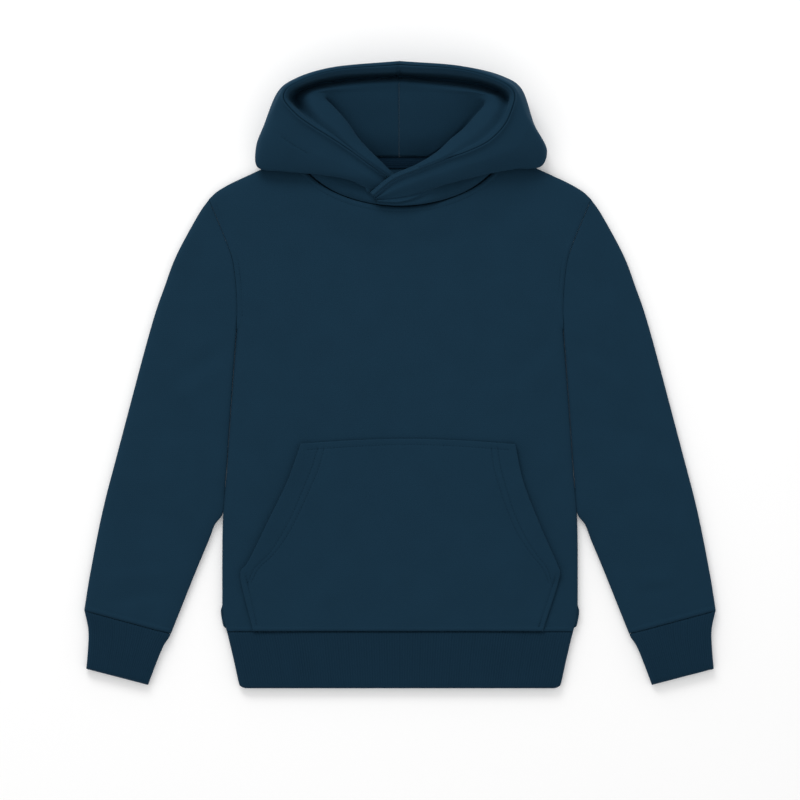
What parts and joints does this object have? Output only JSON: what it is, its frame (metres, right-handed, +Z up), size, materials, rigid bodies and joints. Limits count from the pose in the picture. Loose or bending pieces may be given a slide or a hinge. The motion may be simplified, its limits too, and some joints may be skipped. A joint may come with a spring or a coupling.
{
  "type": "toddler hoodie",
  "caption": "Toddler's fleece pullover hoodie laid flat with its front up, sleeves beside the body, crossed lined hood, kangaroo pocket with slanted openings, ribbed cuffs and hem band.",
  "frame": {"origin": "middle of the laid-out garment's outline, on the surface it lies on", "axes": "+X to the wearer's left, +Y from the hem towards the hood, +Z up from the surface, the front facing up"},
  "size_m": [0.568, 0.5626, 0.043],
  "materials": {
    "fleece": "brushed cotton fleece, matt navy teal with a faint nap",
    "rib": "one by one rib knit, matt navy teal",
    "tape": "twilled cotton tape, matt navy teal"
  },
  "bodies": {
    "root": {"front_panel": "fleece", "back_panel": "fleece", "sleeve_left": "fleece", "sleeve_right": "fleece", "cuff_left": "rib", "cuff_right": "rib", "hem_band": "rib", "pocket": "fleece", "hood_outer_left": "fleece", "hood_outer_right": "fleece", "hood_lining_left": "fleece", "hood_lining_right": "fleece", "neck_tape": "tape"}
  },
  "joints": []
}
